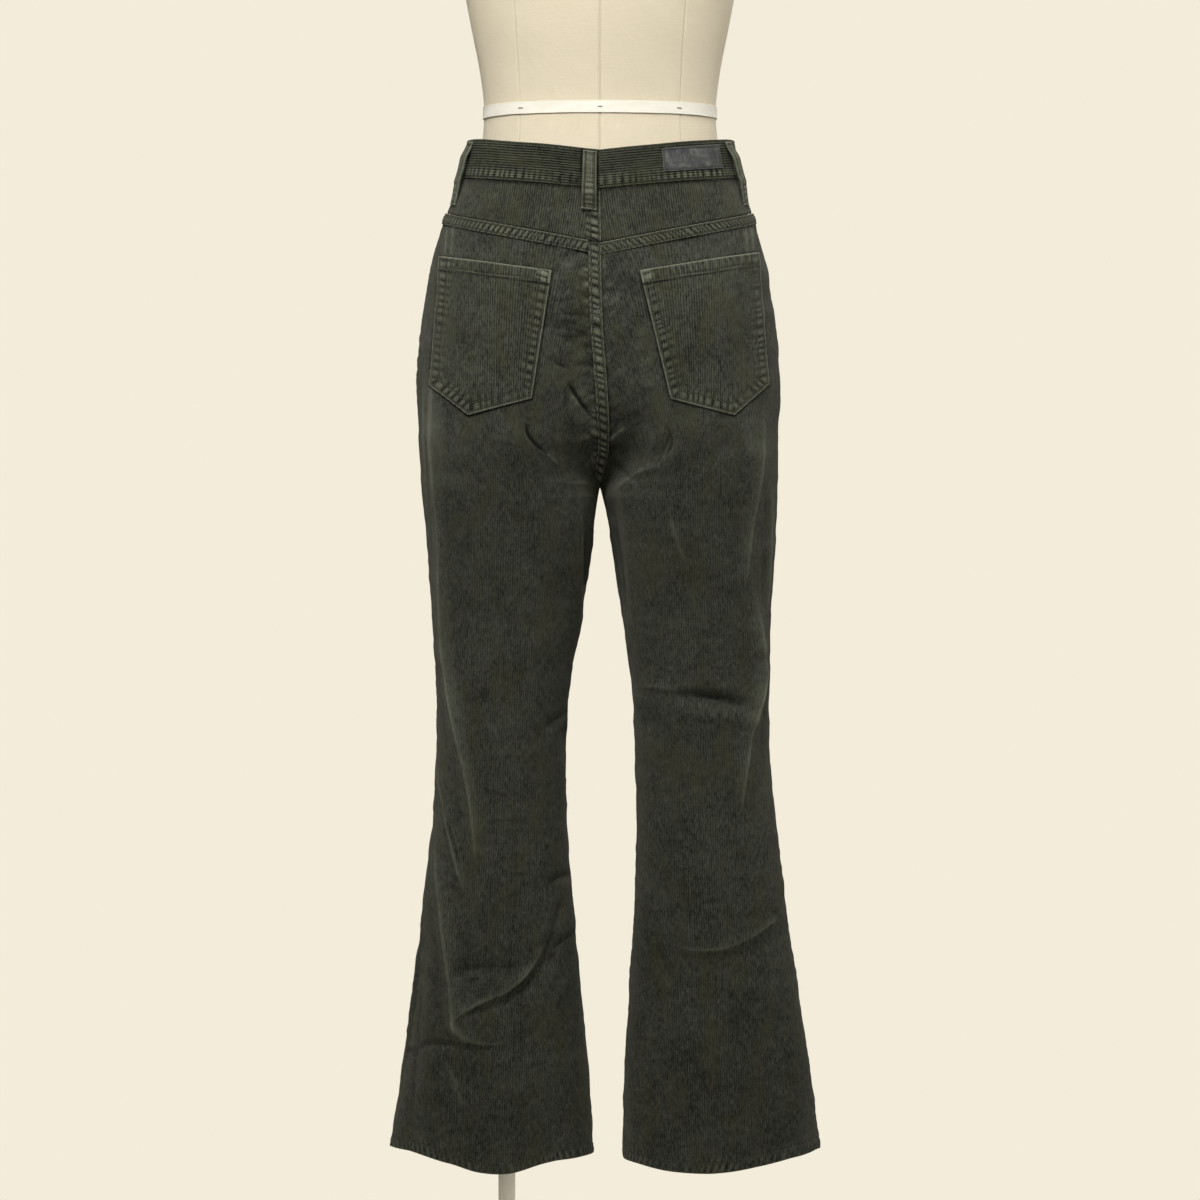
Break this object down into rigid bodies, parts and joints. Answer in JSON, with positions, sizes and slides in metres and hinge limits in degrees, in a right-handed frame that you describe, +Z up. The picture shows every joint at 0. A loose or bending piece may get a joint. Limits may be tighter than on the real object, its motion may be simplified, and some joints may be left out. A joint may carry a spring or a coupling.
{
  "type": "corduroy trousers on a dress form",
  "caption": "High-waisted flared corduroy trousers with a yoke, back patch pockets, scoop front pockets, a fly and belt loops, worn by a limbless linen dress form on a round stand.",
  "frame": {"origin": "on the floor, under the centre of the stand's round base", "axes": "+Z up, +Y the way the wearer faces, +X the wearer's right, so the seat and the back pockets face -Y"},
  "size_m": [0.472, 0.472, 1.7563],
  "materials": {
    "corduroy": "matt needle-cord pile, dark olive brown",
    "patch": "matt",
    "linen": "matt slubbed linen",
    "tape": "matt",
    "button_metal": "aged",
    "stand_enamel": "satin enamel"
  },
  "bodies": {
    "root": {"back_panel_left": "corduroy", "back_panel_right": "corduroy", "front_panel_left": "corduroy", "front_panel_right": "corduroy", "yoke_left": "corduroy", "yoke_right": "corduroy", "waistband_left": "corduroy", "waistband_right": "corduroy", "front_facing_left": "corduroy", "front_facing_right": "corduroy", "back_pocket_left": "corduroy", "back_pocket_right": "corduroy", "yoke_seam_left": "corduroy", "yoke_seam_right": "corduroy", "seat_seam": "corduroy", "fly": "corduroy", "loop_back": "corduroy", "loop_side_left": "corduroy", "loop_side_right": "corduroy", "loop_front_left": "corduroy", "loop_front_right": "corduroy", "label_patch": "patch", "button": "button_metal", "form_torso": "linen", "waist_tape": "tape", "neck_cap": "stand_enamel", "arm_plate_left": "stand_enamel", "arm_plate_right": "stand_enamel", "rod_socket": "stand_enamel", "rod": "stand_enamel", "base": "stand_enamel"}
  },
  "joints": []
}
